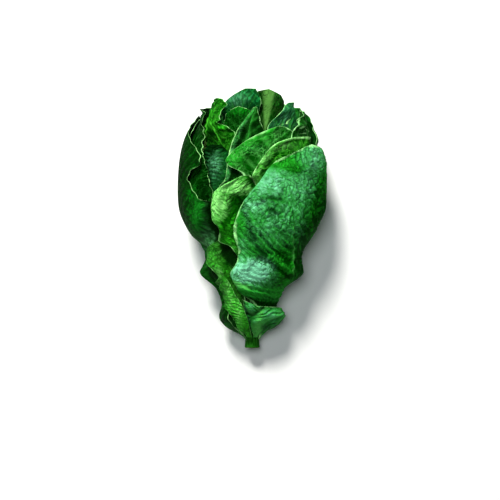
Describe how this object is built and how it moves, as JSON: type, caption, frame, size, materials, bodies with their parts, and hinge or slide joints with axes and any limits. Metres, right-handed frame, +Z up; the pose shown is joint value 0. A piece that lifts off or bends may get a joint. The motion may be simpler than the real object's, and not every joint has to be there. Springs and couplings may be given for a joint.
{
  "type": "romaine lettuce head",
  "caption": "Small romaine lettuce head, cut at the butt and lying on its side: a tapering stem wrapped by overlapping puckered green leaves round a tight heart of young leaves.",
  "frame": {"origin": "middle of the head's footprint, at the height of the surface it lies on", "axes": "+Z up; +Y along the head from the cut butt to the leaf tips; +X to the right when the head is looked down on with its tips away from the viewer"},
  "size_m": [0.0898, 0.1576, 0.074],
  "materials": {
    "stem": "pale moist stem",
    "green_leaf": "waxy puckered leaf, soft sheen",
    "lime_leaf": "waxy puckered leaf, soft sheen",
    "deep_green_leaf": "waxy puckered leaf, soft sheen",
    "blue_green_leaf": "waxy leaf with a bluish bloom",
    "heart_leaf": "pale young leaf"
  },
  "bodies": {
    "root": {"stem": "stem", "leaf_low_left": "lime_leaf", "leaf_low_right": "green_leaf", "leaf_front_right": "green_leaf", "leaf_mid_left": "lime_leaf", "leaf_lobe_left": "lime_leaf", "leaf_outer_left": "deep_green_leaf", "leaf_back_middle": "deep_green_leaf", "leaf_back_right": "deep_green_leaf", "leaf_back_left": "deep_green_leaf", "leaf_rolled_edge": "lime_leaf", "leaf_right_inner": "green_leaf", "leaf_oval_tip": "green_leaf", "leaf_folded_margin": "deep_green_leaf", "leaf_left_inner": "deep_green_leaf", "leaf_blue_back": "blue_green_leaf", "leaf_under_right": "deep_green_leaf", "leaf_under_left": "deep_green_leaf", "leaf_upper_right": "blue_green_leaf", "leaf_upper_left": "lime_leaf", "leaf_top_back": "blue_green_leaf", "leaf_top_back_right": "deep_green_leaf", "leaf_top_middle": "deep_green_leaf", "leaf_pale_rib": "lime_leaf", "leaf_heart_left": "heart_leaf", "leaf_heart_right": "heart_leaf", "heart": "heart_leaf"}
  },
  "joints": []
}
